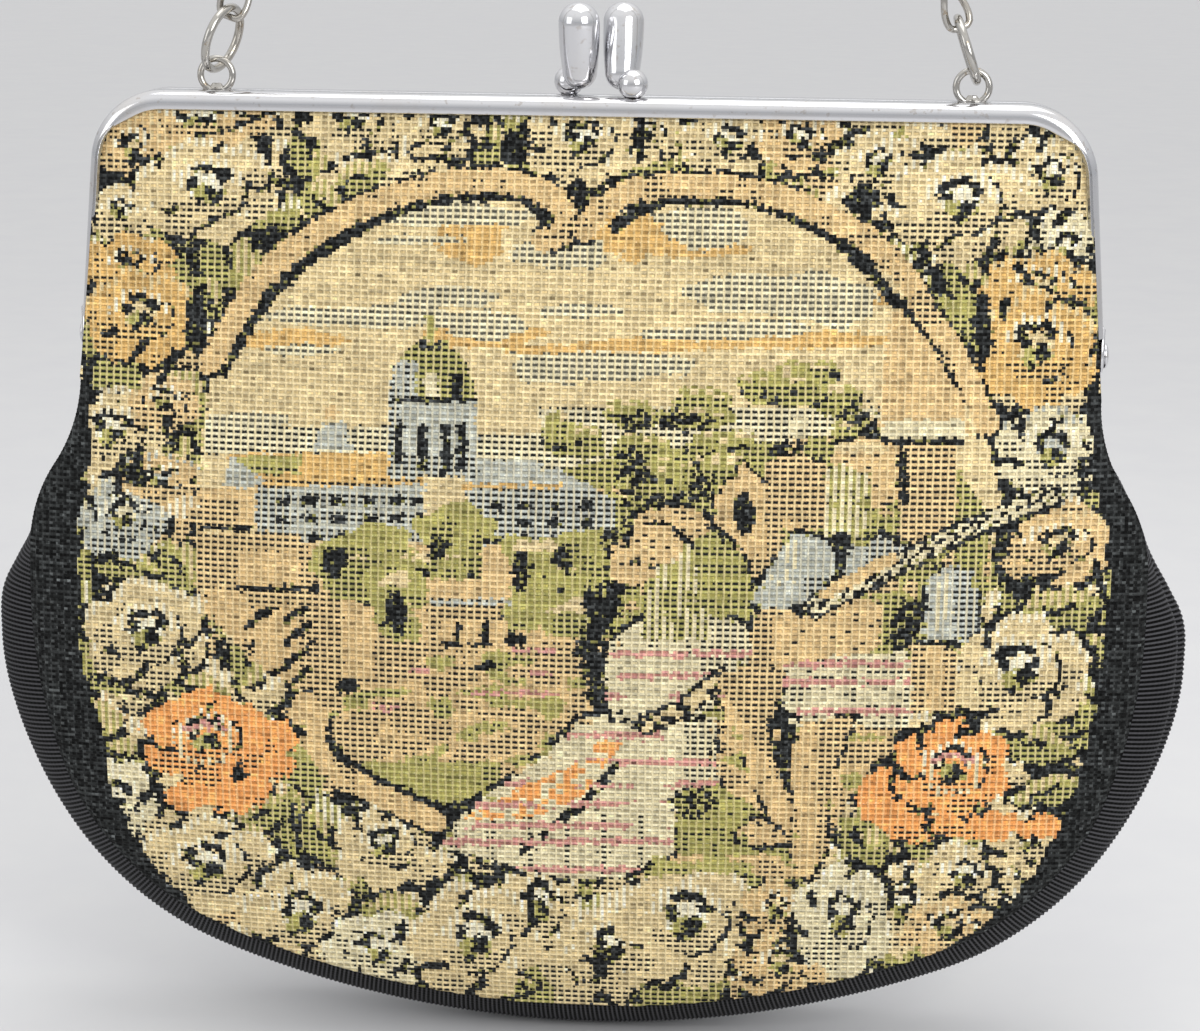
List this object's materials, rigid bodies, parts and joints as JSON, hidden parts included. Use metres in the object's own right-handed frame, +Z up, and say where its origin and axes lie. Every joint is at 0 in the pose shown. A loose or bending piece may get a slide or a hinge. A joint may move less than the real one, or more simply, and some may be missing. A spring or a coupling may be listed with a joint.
{
  "type": "evening purse",
  "caption": "Snap-frame evening purse with a woven pastoral front, ribbon gusset, kiss-lock clasp knobs and a chain handle that swings in eyelets",
  "frame": {"origin": "Middle of the bend of the chain handle, where a hand or a hook holds the purse", "axes": "+Z up, -Y out of the woven front, +X to the right in the front view"},
  "size_m": [0.2102, 0.041, 0.314],
  "materials": {
    "frame_metal": "bright plated, lightly worn",
    "chain_metal": "bright plated wire",
    "tapestry": "coarse machine-woven tapestry in cream, gold, olive, orange, blue-grey and black",
    "back_cloth": "black twill",
    "ribbon": "black grosgrain with cross ribs",
    "lining_cloth": "black satin",
    "packing": "twisted paper"
  },
  "bodies": {
    "chain_handle": {"left_chain": "chain_metal", "right_chain": "chain_metal", "left_jump_ring": "chain_metal", "right_jump_ring": "chain_metal"},
    "bag": {"back_frame": "frame_metal", "left_hinge_rivet": "frame_metal", "right_hinge_rivet": "frame_metal", "back_clasp_knob": "frame_metal", "left_chain_eyelet": "chain_metal", "right_chain_eyelet": "chain_metal", "back_panel": "back_cloth", "gusset_ribbon": "ribbon", "back_lining": "lining_cloth", "front_lining": "lining_cloth", "front_panel": "tapestry", "back_packing_cord": "packing"},
    "front_half": {"front_frame": "frame_metal", "front_clasp_knob": "frame_metal", "front_packing_cord": "packing"}
  },
  "joints": [
    {"name": "bag_swing", "type": "hinge", "parent": "chain_handle", "child": "bag", "pos_m": [0, 0, -0.13698], "axis": [1, 0, 0], "range_deg": [-45, 45]},
    {"name": "frame_open", "type": "hinge", "parent": "bag", "child": "front_half", "pos_m": [0, -0.0011, -0.18518], "axis": [1, 0, 0], "range_deg": [0, 70], "deforming": ["front_panel", "front_lining"]}
  ]
}
